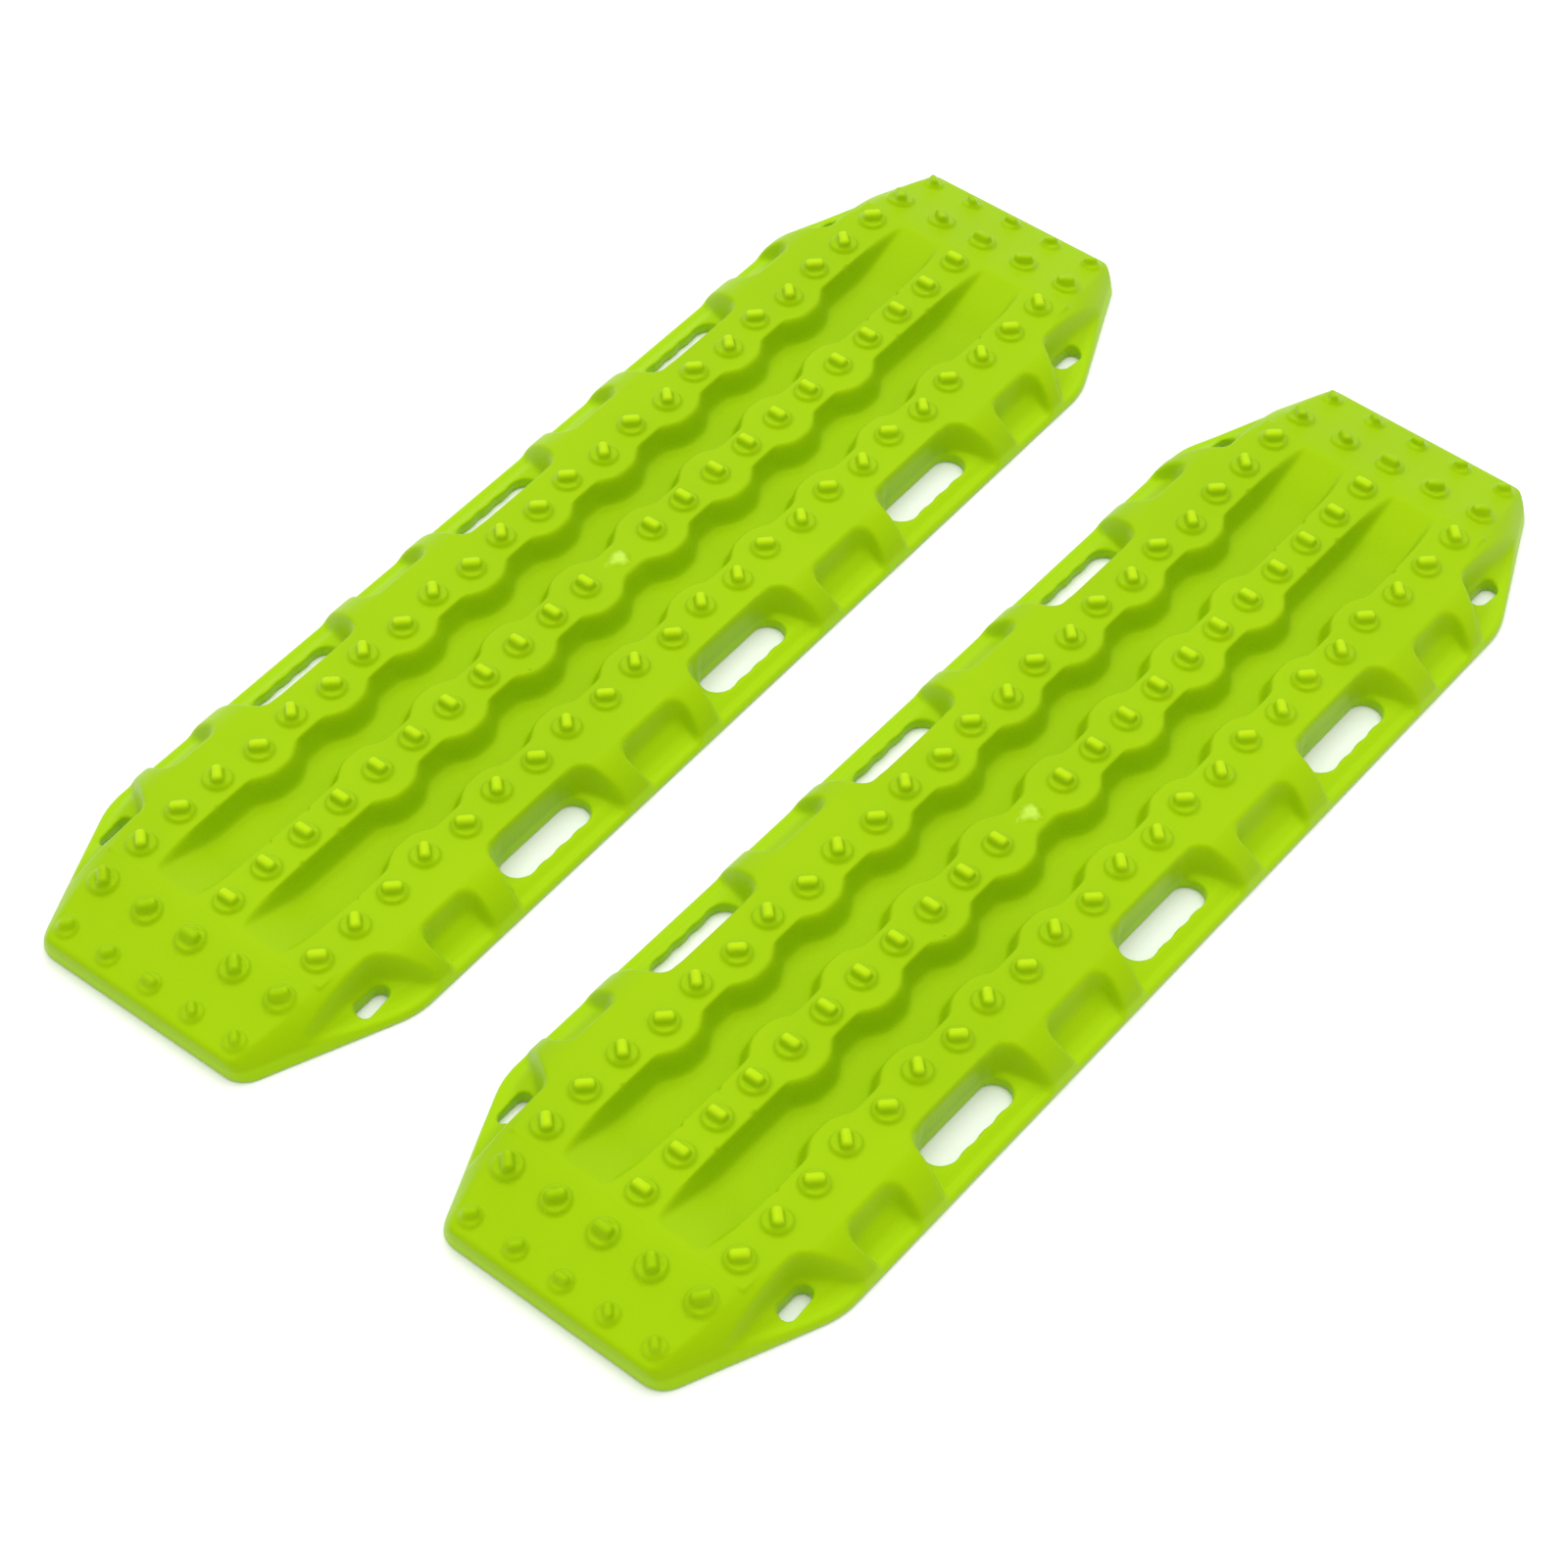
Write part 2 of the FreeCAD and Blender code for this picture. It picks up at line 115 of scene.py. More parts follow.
ROPE_HOLE_Y = 3.12 * PITCH
ROPE_HOLE_RADIUS = 0.73
ROPE_HOLE_STRETCH = 1.8

STUD_RADIUS = 0.31 * PITCH
STUD_BASE_HEIGHT = 0.42
STUD_DRAFT = 0.22
STUD_HEIGHT = 1.15
BLADE_RADII = (0.88, 0.74)              # at the foot and at the crest
BLADE_WIDTHS = (1.15, 0.62)             # at the foot and at the crest
DISH_RADIUS = 1.0                       # the foot is slightly dished around the blade
DISH_DEPTH = 0.14
DISH_EDGE = 0.25
STUD_MARGIN = 0.6                       # worked area around a stud's foot
SIDE_ROW_Y = 2.14 * PITCH
SIDE_ROW_BULGE_Y = 2.03 * PITCH
LAST_STUD = 12
END_ROW_STEP = 1.06 * PITCH
TIP_ROW_X = 13.07 * PITCH
TIP_ROW_STEP = 1.02 * PITCH
TIP_STUD_SCALE = 0.75

# ragged witness of the moulding gate in the middle: (x, y, radius, height) of its lumps
GATE_LUMPS = (
    (0.00, 0.30, 0.55, 0.34),
    (0.45, -0.25, 0.50, 0.30),
    (-0.40, -0.10, 0.60, 0.22),
    (0.75, 0.35, 0.35, 0.16),
    (0.10, -0.75, 0.40, 0.18),
)

# ---- how soft the moulding is ---------------------------------------------------------------------
CELL = 0.15     # sampling step of the skin
SAMPLE_SHIFT = 0.037                    # keeps samples off the flat faces
EDGE_BLUR = 0.16                        # softness of the edges between deck, walls and floors
STUD_BLUR = 0.08
RIM_ROUND = 0.35                        # rounding where the top meets the outer edge
NOSE_ROUND = 0.5                        # the same at the tips
HOLE_ROUND = 0.30
BOTTOM_ROUND = 0.12
WALL_FILLET = 0.5                       # foot of a recess wall, as a share of its draft
GROOVE_FILLET = 0.25
RAMP_FILLET = 1.0                       # where the deck starts to fall towards a tip
FLOOR_FILLET = 1.5                      # where a groove or end-pocket floor starts to rise
SLANT_BLEND = 0.6                       # between the long side's shoulder and the slanted edge's
FINGER_BLEND = 0.15
LIP_BLEND = 0.15
LIP_CURVATURE = 1.5
LEAST_REACH = 0.05                      # keeps the draft blend finite in a recess corner
MAX_TRIANGLES = 190_000


# ---- plan shapes ----------------------------------------------------------------------------------
def rounded_polygon(points, radii, steps=8):
    """The polygon with each corner replaced by an arc of its radius."""
    out = []
    count = len(points)
    for i, (point, radius) in enumerate(zip(points, radii)):
        p = np.array(point, float)
        if radius <= 0:
            out.append(p)
            continue
        a = np.array(points[i - 1], float) - p
        b = np.array(points[(i + 1) % count], float) - p
        a /= np.linalg.norm(a)
        b /= np.linalg.norm(b)
        half_angle = math.acos(np.clip(a @ b, -1, 1)) / 2
        reach = radius / math.tan(half_angle)
        centre = p + (a + b) / np.linalg.norm(a + b) * radius / math.sin(half_angle)
        start = p + a * reach - centre
        end = p + b * reach - centre
        first = math.atan2(start[1], start[0])
        turn = math.atan2(end[1], end[0]) - first
        turn = (turn + math.pi) % (2 * math.pi) - math.pi
        for k in range(steps + 1):
            angle = first + turn * k / steps
            out.append(centre + radius * np.array([math.cos(angle), math.sin(angle)]))
    return np.array(out)


def signed_distance(outline, x, y):
    """Distance from a closed outline, negative inside."""
    nearest = np.full(x.shape, np.inf)
    inside = np.zeros(x.shape, bool)
    for (ax, ay), (bx, by) in zip(outline, np.roll(outline, -1, axis=0)):
        ex, ey = bx - ax, by - ay
        wx, wy = x - ax, y - ay
        t = np.clip((wx * ex + wy * ey) / (ex * ex + ey * ey + 1e-12), 0, 1)
        nearest = np.minimum(nearest, (wx - t * ex) ** 2 + (wy - t * ey) ** 2)
        crosses = (ay > y) != (by > y)
        reach = ex * (y - ay) / (ey if abs(ey) > 1e-12 else 1e-12)
        inside ^= crosses & (wx < reach)
    return np.sqrt(nearest) * np.where(inside, -1, 1)


def soft_ramp(distance, fillet):
    """Zero below, equal to distance above, with a round foot."""
    middle = (distance + fillet) ** 2 / (4 * fillet)
    return np.where(distance < -fillet, 0, np.where(distance > fillet, distance, middle))


def smooth_max(a, b, radius):
    """The larger of two fields, blended where they are close."""
    return np.maximum(a, b) + np.maximum(radius - np.abs(a - b), 0) ** 2 / (4 * radius)


def blurred(height, sigma):
    """Gaussian blur of a height field, with the border repeated."""
    reach = int(math.ceil(3 * sigma / CELL))
    weights = np.exp(-0.5 * (np.arange(-reach, reach + 1) * CELL / sigma) ** 2)
    weights /= weights.sum()
    for axis in (0, 1):
        padding = [(0, 0), (0, 0)]
        padding[axis] = (reach, reach)
        padded = np.pad(height, padding, mode="edge")
        length = height.shape[axis]
        height = sum(
            w * np.take(padded, range(k, k + length), axis=axis) for k, w in enumerate(weights)
        )
    return height


# ---- the studded face -----------------------------------------------------------------------------
def deck_height(x):
    """Flat deck, falling away towards both tips."""
    fall = (DECK_Z - TIP_Z) / (HALF_LENGTH - RAMP_START_X)
    return DECK_Z - fall * soft_ramp(np.abs(x) - RAMP_START_X, RAMP_FILLET)


def side_inward(x, y):
    """Distance in from the nearest long side or slanted edge."""
    from_side = HALF_WIDTH - np.abs(y)
    run = HALF_LENGTH - CORNER_X
    fall = HALF_WIDTH - TIP_HALF_WIDTH
    from_slant = (HALF_LENGTH - np.abs(x)) * fall + (TIP_HALF_WIDTH - np.abs(y)) * run
    return -smooth_max(-from_side, -from_slant / math.hypot(run, fall), SLANT_BLEND)


def shoulder_height(inward):
    """Arc through the three shoulder points, from the deck down to the rim."""
    (y1, z1), (y2, z2), (y3, z3) = (SHOULDER_Y, DECK_Z), SHOULDER_MID, (HALF_WIDTH, RIM_Z)
    a = 2 * np.array([[y2 - y1, z2 - z1], [y3 - y1, z3 - z1]])
    b = np.array([y2**2 - y1**2 + z2**2 - z1**2, y3**2 - y1**2 + z3**2 - z1**2])
    centre_y, centre_z = np.linalg.solve(a, b)
    radius = math.hypot(y1 - centre_y, z1 - centre_z)
    out = HALF_WIDTH - inward
    across = np.clip(out, y1, y3) - centre_y
    arc = centre_z + np.sqrt(np.maximum(radius**2 - across**2, 0))
    return np.where(out < y1, DECK_Z, arc)


def wave(x, waist, bulge, last_bulge):
    """Half-width of a ridge edge: straight, with a smooth bulge at every other pitch."""
    pitches = np.abs(x) / PITCH
    from_bulge = np.abs((pitches - last_bulge + 1) % 2 - 1)
    share = np.minimum(from_bulge / BULGE_REACH, 1)
    swing = (bulge - waist) * (1 + np.cos(math.pi * share**BULGE_FULLNESS)) / 2
    return np.where(pitches <= last_bulge + 1, waist + swing, waist)


def groove_height(x, y):
    """Height of the groove's floor and leaning walls; high outside the groove."""
    inner = wave(x, CENTRE_RIDGE_WAIST, CENTRE_RIDGE_BULGE, LAST_CENTRE_BULGE) + GROOVE_DRAFT
    outer = wave(x, SIDE_RIDGE_WAIST, SIDE_RIDGE_BULGE, LAST_SIDE_BULGE) - GROOVE_DRAFT
    rise = (DECK_Z - GROOVE_FLOOR_Z) / (GROOVE_RAMP_TOP_X - GROOVE_RAMP_LOW_X)
    floor = GROOVE_FLOOR_Z + rise * soft_ramp(np.abs(x) - GROOVE_RAMP_LOW_X, FLOOR_FILLET)
    outside = np.maximum(inner - np.abs(y), np.abs(y) - outer)
    steepness = (DECK_Z - GROOVE_FLOOR_Z) / GROOVE_DRAFT
    return floor + steepness * soft_ramp(outside, GROOVE_FILLET)


def opening_height(span, back_y, drafts, floor, x, y):
    """Height of a side opening's floor and walls, mirrored to +Y; high outside it."""
    (deck_start, deck_end), (rim_start, rim_end) = span
    slope_start = (rim_start - deck_start) * PITCH / (HALF_WIDTH - back_y)
    slope_end = (rim_end - deck_end) * PITCH / (HALF_WIDTH - back_y)
    front_y = HALF_WIDTH + PITCH
    reach = front_y - back_y
    points = [
        (deck_start * PITCH, back_y),
        (deck_end * PITCH, back_y),
        (deck_end * PITCH + slope_end * reach, front_y),
        (deck_start * PITCH + slope_start * reach, front_y),
    ]
    radius = RECESS_CORNER_RADIUS
    distance = signed_distance(rounded_polygon(points, [radius, radius, 0, 0]), x, y)
    from_back = np.maximum(y - back_y, LEAST_REACH)
    from_end = np.minimum(x - deck_start * PITCH, deck_end * PITCH - x)
    end_share = from_back**2 / (from_back**2 + np.maximum(from_end, LEAST_REACH) ** 2)
    back_draft, end_draft = drafts
    draft = back_draft + (end_draft - back_draft) * end_share
    wall = (DECK_Z - FLANGE_Z) / draft
    return floor + wall * soft_ramp(distance + draft, WALL_FILLET * draft)


def end_pocket_height(x, y, thinning):
    """Three-cornered pocket in the +X +Y corner, its floor rising towards the tip."""
    slant = (END_POCKET_X - END_POCKET_OUTER_X) / (HALF_WIDTH - END_POCKET_Y)
    far_x = HALF_LENGTH + PITCH
    far_y = HALF_WIDTH + PITCH
    points = [
        (END_POCKET_X, END_POCKET_Y),
        (far_x, END_POCKET_Y),
        (far_x, far_y),
        (END_POCKET_X - slant * (far_y - END_POCKET_Y), far_y),
    ]
    distance = signed_distance(rounded_polygon(points, [RECESS_CORNER_RADIUS, 0, 0, 0]), x, y)
    top_x, top_z = END_FLOOR_TOP
    rise = (top_z - END_FLOOR_Z) / (top_x - END_FLOOR_LOW_X)
    floor = END_FLOOR_Z - thinning + rise * soft_ramp(x - END_FLOOR_LOW_X, FLOOR_FILLET)
    wall = (DECK_Z - END_FLOOR_Z) / END_POCKET_DRAFT
    return floor + wall * soft_ramp(distance + END_POCKET_DRAFT, WALL_FILLET * END_POCKET_DRAFT)


def relief(x, y, inward):
    """Height of the studded face before the studs are added; inward is the distance from the outline."""
    ax, ay = np.abs(x), np.abs(y)
    height = np.minimum(deck_height(x), shoulder_height(side_inward(x, y)))
    height = np.minimum(height, groove_height(x, y))
    fall_start, fall_end = FLANGE_FALL
    share = np.clip((fall_start - inward) / (fall_start - fall_end), 0, 1)
    thinning = (FLANGE_Z - FLANGE_EDGE_Z) * share
    pocket_rise = np.maximum(HALF_WIDTH - LIP_INSET - ay, 0) / (HALF_WIDTH - LIP_INSET - POCKET_Y)
    pocket_floor = FLANGE_EDGE_Z + (POCKET_BACK_Z - FLANGE_EDGE_Z) * pocket_rise
    for span in (MIDDLE_RECESS, SIDE_RECESS):
        cut = opening_height(span, RECESS_Y, RECESS_DRAFTS, FLANGE_Z - thinning, ax, ay)
        height = np.minimum(height, cut)
    for span in (INNER_POCKET, OUTER_POCKET):
        cut = opening_height(span, POCKET_Y, POCKET_DRAFTS, pocket_floor, ax, ay)
        height = np.minimum(height, cut)
    height = np.minimum(height, end_pocket_height(ax, ay, thinning))
    lip = LIP_Z - LIP_CURVATURE * (inward - LIP_INSET) ** 2
    return smooth_max(height, lip, LIP_BLEND)


def stud_places():
    """(x, y, blade angle, scale) of every stud of one board."""
    places = []
    for index in range(-LAST_STUD, LAST_STUD + 1):
        x = index * PITCH
        on_bulge = index % 2 == 0 and abs(index) <= LAST_SIDE_BULGE
        row_y = SIDE_ROW_BULGE_Y if on_bulge else SIDE_ROW_Y
        lean = -45 if index % 2 == 0 else 45
        lean = -lean if index > 0 else lean
        lean = 45 if abs(index) == LAST_STUD else lean
        places += [(x, row * row_y, lean * row, 1.0) for row in (-1, 1)]
        if index != 0:
            places.append((x, 0, 90, 1.0))
    for end in (-1, 1):
        for row in (-1, 1):
            places.append((end * LAST_STUD * PITCH, row * END_ROW_STEP, 45 * row * end, 1.0))
        for step in range(-2, 3):
            angle = 90 if step == 0 else math.copysign(45, step * end)
            places.append((end * TIP_ROW_X, step * TIP_ROW_STEP, angle, TIP_STUD_SCALE))
    return places


def add_studs(height, xs, ys):
    """Raise the studs out of a height field: a low round foot with a wedge-shaped blade."""
    reach = STUD_RADIUS + STUD_MARGIN
    for cx, cy, angle, scale in stud_places():
        columns = np.where(np.abs(xs - cx) < reach)[0]
        rows = np.where(np.abs(ys - cy) < reach)[0]
        window = np.ix_(columns, rows)
        dx, dy = np.meshgrid(xs[columns] - cx, ys[rows] - cy, indexing="ij")
        c, s = math.cos(math.radians(angle)), math.sin(math.radians(angle))
        out = np.hypot(dx, dy) / scale
        across = np.abs(dy * c - dx * s) / scale
        foot = np.clip((STUD_RADIUS - out) / STUD_DRAFT, 0, 1) * STUD_BASE_HEIGHT
        foot -= DISH_DEPTH * np.clip((DISH_RADIUS - out) / DISH_EDGE, 0, 1)
        foot_radius, crest_radius = BLADE_RADII
        by_radius = (foot_radius - out) / (foot_radius - crest_radius)
        foot_width, crest_width = BLADE_WIDTHS
        by_width = (foot_width / 2 - across) / (foot_width / 2 - crest_width / 2)
        rise = np.clip(np.minimum(by_radius, by_width), 0, 1)
        blade = np.where(rise > 0, STUD_BASE_HEIGHT + (STUD_HEIGHT - STUD_BASE_HEIGHT) * rise, 0)
        base = deck_height(np.array(cx)) if abs(cx) <= RAMP_START_X else height[window]
        height[window] = np.maximum(height[window], base + np.maximum(foot, blade) * scale)
    return height


def add_gate(height, x, y):
    """Raise the broken-off gate mark in the middle of the deck."""
    lumps = np.zeros(x.shape)
    for cx, cy, radius, rise in GATE_LUMPS:
        share = np.clip(1 - np.hypot(x - cx, y - cy) / radius, 0, 1)
        lumps = np.maximum(lumps, rise * np.sqrt(share))
    return height + lumps


# ---- the underside --------------------------------------------------------------------------------
def underside(x, y):
    """Height of the underside's hollows above the face that the board rests on."""
    ax, ay = np.abs(x), np.abs(y)
    inner_y = RECESS_Y - WALL
    centre_half = CENTRE_RIDGE_WAIST + GROOVE_DRAFT / 2 - WALL
    side_start = SIDE_RIDGE_WAIST - GROOVE_DRAFT / 2 + WALL
    in_length = ax < RAMP_START_X
    height = np.where(in_length & (ay < inner_y), GROOVE_FLOOR_Z - WALL, 0)
    channel = (ay < centre_half) | ((ay > side_start) & (ay < inner_y))
    height = np.where(in_length & channel, DECK_Z - WALL, height)
    in_end = (ax >= RAMP_START_X) & (ax < HALF_LENGTH - WALL) & (ay < TIP_HALF_WIDTH - 1.5 * WALL)
    return np.where(in_end, deck_height(x) - WALL, height)


# ---- skin -----------------------------------------------------------------------------------------
def hole_field(x, y):
    """Distance into the nearest finger slot or rope hole, positive inside it."""
    ax, ay = np.abs(x), np.abs(y)
    depth = SLOT_OUTER_Y - SLOT_INNER_Y
    middle_y = (SLOT_OUTER_Y + SLOT_INNER_Y) / 2
    field = np.full(x.shape, -np.inf)
    for centre in HANDLE_CENTRES:
        dx = np.abs(x - centre * PITCH) - SLOT_HALF_LENGTH + SLOT_CORNER_RADIUS
        dy = np.abs(ay - middle_y) - depth / 2 + SLOT_CORNER_RADIUS
        outside = np.hypot(np.maximum(dx, 0), np.maximum(dy, 0)) + np.minimum(np.maximum(dx, dy), 0)
        slot = SLOT_CORNER_RADIUS - outside
        for step in (-1.5, -0.5, 0.5, 1.5):
            hollow_x = centre * PITCH + step * FINGER_PITCH
            hollow_y = SLOT_OUTER_Y + FINGER_DEPTH - FINGER_RADIUS
            hollow = FINGER_RADIUS - np.hypot(x - hollow_x, ay - hollow_y)
            slot = smooth_max(slot, np.where(ay > middle_y, hollow, -1), FINGER_BLEND)
        field = np.maximum(field, slot)
    rope_x = np.maximum(np.abs(ax - ROPE_HOLE_X) - ROPE_HOLE_STRETCH / 2, 0)
    return np.maximum(field, ROPE_HOLE_RADIUS - np.hypot(rope_x, ay - ROPE_HOLE_Y))


def plan_outline():
    """The board's outline, with rounded corners."""
    points = [
        (HALF_LENGTH, -TIP_HALF_WIDTH),
        (HALF_LENGTH, TIP_HALF_WIDTH),
        (CORNER_X, HALF_WIDTH),
        (-CORNER_X, HALF_WIDTH),
        (-HALF_LENGTH, TIP_HALF_WIDTH),
        (-HALF_LENGTH, -TIP_HALF_WIDTH),
        (-CORNER_X, -HALF_WIDTH),
        (CORNER_X, -HALF_WIDTH),
    ]
    tip, side = TIP_CORNER_RADIUS, SIDE_CORNER_RADIUS
    return rounded_polygon(points, [tip, tip, side, side, tip, tip, side, side])


def steepness(height):
    """Length of the surface normal over a height field, to turn heights into distances."""
    slope_x, slope_y = np.gradient(height, CELL)
    return np.sqrt(1 + slope_x**2 + slope_y**2)


def skin_field():
    """Sampled field that is negative inside the moulding, with the axes of its samples."""
    margin = 4 * CELL + SAMPLE_SHIFT
    xs = np.arange(-HALF_LENGTH - margin, HALF_LENGTH + margin, CELL)
    ys = np.arange(-HALF_WIDTH - margin, HALF_WIDTH + margin, CELL)
    zs = np.arange(-margin, DECK_Z + STUD_HEIGHT + margin, CELL)
    x, y = np.meshgrid(xs, ys, indexing="ij")
    edge = signed_distance(plan_outline(), x, y)
    top = blurred(relief(x, y, -edge), EDGE_BLUR)
    top = blurred(add_gate(add_studs(top, xs, ys), x, y), STUD_BLUR)
    bottom = blurred(underside(x, y), EDGE_BLUR)
    hole = hole_field(x, y)
    z = zs[None, None, :]
    above = (z - top[..., None]) / steepness(top)[..., None]
    below = (bottom[..., None] - z) / steepness(bottom)[..., None]
    at_tip = np.clip((np.abs(x) - RAMP_START_X) / PITCH, 0, 1)
    rounding = RIM_ROUND + (NOSE_ROUND - RIM_ROUND) * at_tip[..., None]
    above, below, edge, hole, rounding = (
        part.astype(np.float32)
        for part in (above, below, edge[..., None], hole[..., None], rounding)
    )
    body = smooth_max(above, edge, rounding)
    body = smooth_max(body, hole, HOLE_ROUND)
    return smooth_max(body, below, BOTTOM_ROUND), (xs, ys, zs)


def surface_net(field, axes):
    """Vertices and faces of the surface where a sampled field changes sign."""
    inside = field < 0
    size = np.array(field.shape) - 1
    corners = [(i, j, k) for i in (0, 1) for j in (0, 1) for k in (0, 1)]
    filled = np.zeros(size, np.uint8)
    for i, j, k in corners:
        filled += inside[i:size[0] + i, j:size[1] + j, k:size[2] + k]
    active = (filled > 0) & (filled < 8)
    cells = np.argwhere(active)
    number = np.full(active.shape, -1, np.int64)
    number[active] = np.arange(len(cells))
    value = {c: field[tuple((cells + c).T)] for c in corners}
    total = np.zeros((len(cells), 3))
    hits = np.zeros(len(cells))
    for corner in corners:
        for axis in range(3):
            if corner[axis]:
                continue
            other = tuple(c + (a == axis) for a, c in enumerate(corner))
            start, end = value[corner], value[other]
            crosses = (start < 0) != (end < 0)
            share = np.where(crosses, start / np.where(crosses, start - end, 1), 0)
            point = np.tile(np.array(corner, float), (len(cells), 1))
            point[:, axis] += share
            total += point * crosses[:, None]
            hits += crosses
    first = np.array([axis[0] for axis in axes])
    vertices = first + CELL * (cells + total / hits[:, None])
    faces = []
    for axis in range(3):
        u, v = np.eye(3, dtype=int)[[(axis + 1) % 3, (axis + 2) % 3]]
        low = [slice(1, -1)] * 3
        high = [slice(1, -1)] * 3
        low[axis], high[axis] = slice(0, -1), slice(1, None)
        before, after = inside[tuple(low)], inside[tuple(high)]
        for rising in (True, False):
            found = np.argwhere((before != after) & (before == rising))
            found += [0 if a == axis else 1 for a in range(3)]
            loop = [found, found - u, found - u - v, found - v]
            if not rising:
                loop = loop[::-1]
            faces.append(np.stack([number[tuple(c.T)] for c in loop], axis=1))
    return vertices, np.concatenate(faces)


def board_mesh():
    """Mesh of one board about its own centre, in metres."""
    vertices, faces = surface_net(*skin_field())
    mesh = bpy.data.meshes.new("board_skin")
    mesh.vertices.add(len(vertices))
    mesh.vertices.foreach_set("co", (vertices * MM).ravel())
    mesh.loops.add(faces.size)
    mesh.loops.foreach_set("vertex_index", faces.ravel().astype(np.int32))
    mesh.polygons.add(len(faces))
    mesh.polygons.foreach_set("loop_start", np.arange(0, faces.size, 4, dtype=np.int32))
    mesh.update(calc_edges=True)
    mesh.validate()
    if 2 * len(faces) > MAX_TRIANGLES:
        mesh = decimated(mesh, MAX_TRIANGLES / (2 * len(faces)))
    mesh.shade_smooth()
    return mesh


def decimated(mesh, share):
    """The mesh with fewer triangles where it is flattest."""
    carrier = bpy.data.objects.new("board_draft", mesh)
    bpy.context.scene.collection.objects.link(carrier)
    modifier = carrier.modifiers.new("fewer", "DECIMATE")
    modifier.ratio = share
    graph = bpy.context.evaluated_depsgraph_get()
    result = bpy.data.meshes.new_from_object(carrier.evaluated_get(graph))
    bpy.data.objects.remove(carrier)
    return result


# ---- materials ------------------------------------------------------------------------------------
GRAINS_PER_METRE = 3200
GRAIN_DETAIL = 3.0
GRAIN_DEPTH = 0.00006
GRAIN_STRENGTH = 0.35
GRAIN_ROUGHNESS = (0.32, 0.46)
SPECULAR_LEVEL = 0.18
SPECULAR_TINT = (0.78, 1.0, 0.05, 1)
CLOUDS_PER_METRE = 60
CLOUD_DETAIL = 2.0
CLOUD_SPAN = (0.35, 0.65)
LIME_DEEP = (0.293, 0.497, 0.002, 1)
LIME_LIGHT = (0.311, 0.522, 0.002, 1)
LIME_PAINTED_GLOW = (0.345, 0.580, 0.004, 1)    # painted light: the thin flange and rim are painted lighter, as if light came through them
PAINTED_GLOW_HEIGHTS = (0.00135, 0.0010)        # full colour above, painted-light colour below
LIME_CREST_HIGHLIGHT = (0.43, 0.66, 0.006, 1)     # painted highlight on the narrow crests of the studs
CREST_HIGHLIGHT_HEIGHTS = (0.0046, 0.0049)        # full colour below, painted-highlight colour above
LIME_TORN = (0.62, 0.86, 0.12, 1)       # stretched plastic of the gate mark
GATE_RADII = (0.0005, 0.0002)           # after the ragged noise has shortened them
GATE_LUMPS_PER_METRE = 1400
GATE_DETAIL = 2.0
GATE_SHARE = 0.6
FLOOR_COLOUR = (0.95, 0.95, 0.95, 1)
FLOOR_ROUGHNESS = 0.9


class Graph:
    """A material's node tree, with short forms for the nodes used here."""

    def __init__(self, material):
        material.use_nodes = True
        self.nodes, self.links = material.node_tree.nodes, material.node_tree.links
        self.shader = self.nodes["Principled BSDF"]
        self.where = self.nodes.new("ShaderNodeTexCoord").outputs["Object"]

    def noise(self, scale, detail):
        node = self.nodes.new("ShaderNodeTexNoise")
        node.inputs["Scale"].default_value = scale
        node.inputs["Detail"].default_value = detail
        self.links.new(self.where, node.inputs["Vector"])
        return node.outputs["Fac"]

    def ranged(self, value, start, end, low=0.0, high=1.0):
        """Value mapped from start..end to low..high, clamped."""
        node = self.nodes.new("ShaderNodeMapRange")
        node.inputs["From Min"].default_value = start
        node.inputs["From Max"].default_value = end
        node.inputs["To Min"].default_value = low
        node.inputs["To Max"].default_value = high
        self.links.new(value, node.inputs["Value"])
        return node.outputs["Result"]

    def mixed(self, share, colour, other):
        """Colour socket moved towards a fixed other colour."""
        node = self.nodes.new("ShaderNodeMixRGB")
        node.inputs["Color2"].default_value = other
        self.links.new(share, node.inputs["Fac"])
        self.links.new(colour, node.inputs["Color1"])
        return node.outputs["Color"]


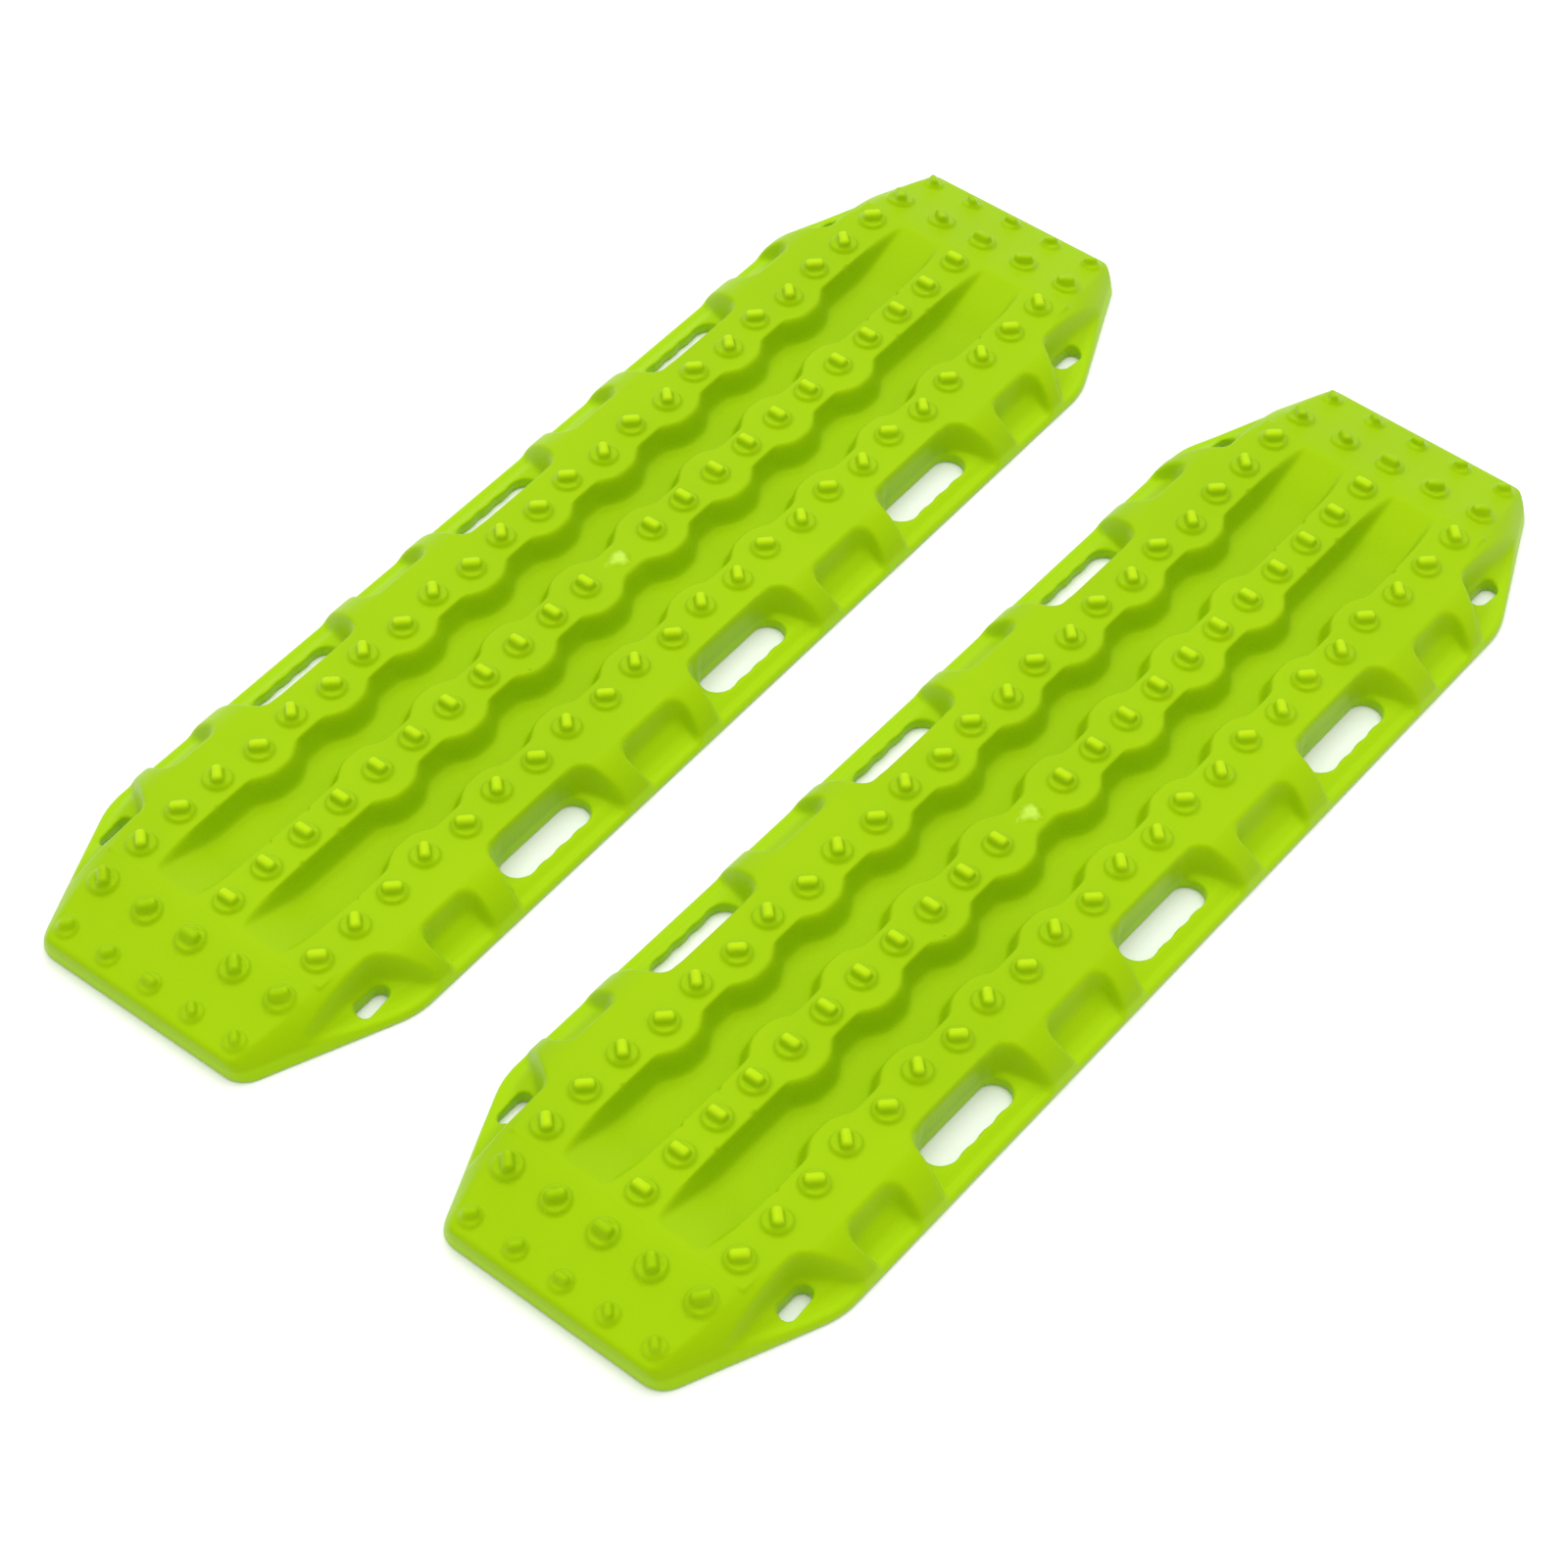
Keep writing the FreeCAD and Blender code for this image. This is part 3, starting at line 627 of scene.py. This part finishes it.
def board_material():
    """Lime green semi-matte moulded plastic with a fine grain, lighter where it is torn; painted light
    lightens the thin low parts and a painted highlight the stud crests.
    """
    material = bpy.data.materials.new("lime_plastic")
    graph = Graph(material)
    nodes, links, shader = graph.nodes, graph.links, graph.shader
    shader.inputs["Specular IOR Level"].default_value = SPECULAR_LEVEL
    shader.inputs["Specular Tint"].default_value = SPECULAR_TINT

    grain = graph.noise(GRAINS_PER_METRE, GRAIN_DETAIL)
    bump = nodes.new("ShaderNodeBump")
    bump.inputs["Strength"].default_value = GRAIN_STRENGTH
    bump.inputs["Distance"].default_value = GRAIN_DEPTH
    links.new(grain, bump.inputs["Height"])
    links.new(bump.outputs["Normal"], shader.inputs["Normal"])
    links.new(graph.ranged(grain, 0, 1, *GRAIN_ROUGHNESS), shader.inputs["Roughness"])

    tone = nodes.new("ShaderNodeValToRGB")
    for element, position, colour in zip(tone.color_ramp.elements, CLOUD_SPAN, (LIME_DEEP, LIME_LIGHT)):
        element.position = position
        element.color = colour
    links.new(graph.noise(CLOUDS_PER_METRE, CLOUD_DETAIL), tone.inputs["Fac"])

    axes = nodes.new("ShaderNodeSeparateXYZ")
    links.new(graph.where, axes.inputs["Vector"])
    height = axes.outputs["Z"]
    # painted light: the low, thin parts are painted lighter
    colour = graph.mixed(graph.ranged(height, *PAINTED_GLOW_HEIGHTS), tone.outputs["Color"], LIME_PAINTED_GLOW)
    # painted highlight: the stud crests are painted lighter
    colour = graph.mixed(graph.ranged(height, *CREST_HIGHLIGHT_HEIGHTS), colour, LIME_CREST_HIGHLIGHT)

    flat = nodes.new("ShaderNodeVectorMath")
    flat.operation = "MULTIPLY"
    flat.inputs[1].default_value = (1, 1, 0)
    links.new(graph.where, flat.inputs[0])
    reach = nodes.new("ShaderNodeVectorMath")
    reach.operation = "LENGTH"
    links.new(flat.outputs["Vector"], reach.inputs[0])
    ragged = nodes.new("ShaderNodeMath")
    ragged.operation = "MULTIPLY"
    links.new(graph.noise(GATE_LUMPS_PER_METRE, GATE_DETAIL), ragged.inputs[0])
    links.new(reach.outputs["Value"], ragged.inputs[1])
    torn = graph.ranged(ragged.outputs["Value"], *GATE_RADII, 0, GATE_SHARE)
    links.new(graph.mixed(torn, colour, LIME_TORN), shader.inputs["Base Color"])
    return material


def floor_material():
    """Plain white paper."""
    material = bpy.data.materials.new("paper")
    material.use_nodes = True
    shader = material.node_tree.nodes["Principled BSDF"]
    shader.inputs["Base Color"].default_value = FLOOR_COLOUR
    shader.inputs["Roughness"].default_value = FLOOR_ROUGHNESS
    return material


# ---- placing the boards ---------------------------------------------------------------------------
FRONT_BOARD_TURN = math.radians(-1.2)
BOARD_STEP = Vector((-1.17, -42.43, 0)) * MM


def place_boards():
    """Both boards share one mesh; each stands where its CAD solid is."""
    mesh = board_mesh()
    mesh.materials.append(board_material())
    low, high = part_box("rear_board")
    rear_centre = Vector(((low.x + high.x) / 2, (low.y + high.y) / 2, low.z))
    places = {
        "rear_board": Matrix.Translation(rear_centre),
        "front_board": Matrix.Translation(rear_centre + BOARD_STEP)
        @ Matrix.Rotation(FRONT_BOARD_TURN, 4, "Z"),
    }
    for node, place in places.items():
        piece = bpy.data.objects.new(node + "_skin", mesh)
        bpy.context.scene.collection.objects.link(piece)
        piece.matrix_world = place
        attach(piece, node)
        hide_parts(node)


# ---- studio ---------------------------------------------------------------------------------------
CAMERA_FROM_REAR = Vector((-173.97, -146.04, 237.97)) * MM
CAMERA_ANGLES = Euler([math.radians(a) for a in (40.887, -1.201, -52.178)], "XYZ")
CAMERA_LENS = 90.77                     # lens and sensor in millimetres, as a camera states them
CAMERA_SENSOR = 36.0
CAMERA_NEAR = 0.01
FLOOR_SIZE = 3.0
FLOOR_GAP = 0.00002                     # keeps the floor off the boards' undersides
SURROUND_STRENGTH = 0.80
SOFTBOX_AT = Vector((0.12, 0.16, 0.8))
SOFTBOX_SIZE = 0.9
SOFTBOX_POWER = 4.6


def add_camera():
    """The camera that frames the pair, placed from the rear board."""
    data = bpy.data.cameras.new("camera")
    data.sensor_width = CAMERA_SENSOR
    data.lens = CAMERA_LENS
    data.clip_start = CAMERA_NEAR
    camera = bpy.data.objects.new("camera", data)
    low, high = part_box("rear_board")
    rear_centre = Vector(((low.x + high.x) / 2, (low.y + high.y) / 2, low.z))
    camera.location = rear_centre + CAMERA_FROM_REAR
    camera.rotation_euler = CAMERA_ANGLES
    bpy.context.scene.collection.objects.link(camera)
    bpy.context.scene.camera = camera


def add_softbox():
    """Large round light, high behind the boards, aimed at the origin."""
    data = bpy.data.lights.new("key", "AREA")
    data.shape = "DISK"
    data.size = SOFTBOX_SIZE
    data.energy = SOFTBOX_POWER
    light = bpy.data.objects.new("key", data)
    light.location = SOFTBOX_AT
    light.rotation_euler = (-SOFTBOX_AT).to_track_quat("-Z", "Y").to_euler()
    bpy.context.scene.collection.objects.link(light)


def add_studio():
    """White floor, white surround and one softbox."""
    bpy.ops.mesh.primitive_plane_add(size=FLOOR_SIZE, location=(0, 0, -FLOOR_GAP))
    floor = bpy.context.object
    floor.name = "floor"
    floor.data.materials.append(floor_material())
    world = bpy.data.worlds.new("world")
    world.use_nodes = True
    surround = world.node_tree.nodes["Background"]
    surround.inputs["Color"].default_value = (1, 1, 1, 1)
    surround.inputs["Strength"].default_value = SURROUND_STRENGTH
    bpy.context.scene.world = world
    add_softbox()


place_boards()
add_camera()
add_studio()
bpy.context.scene.view_settings.view_transform = "Standard"
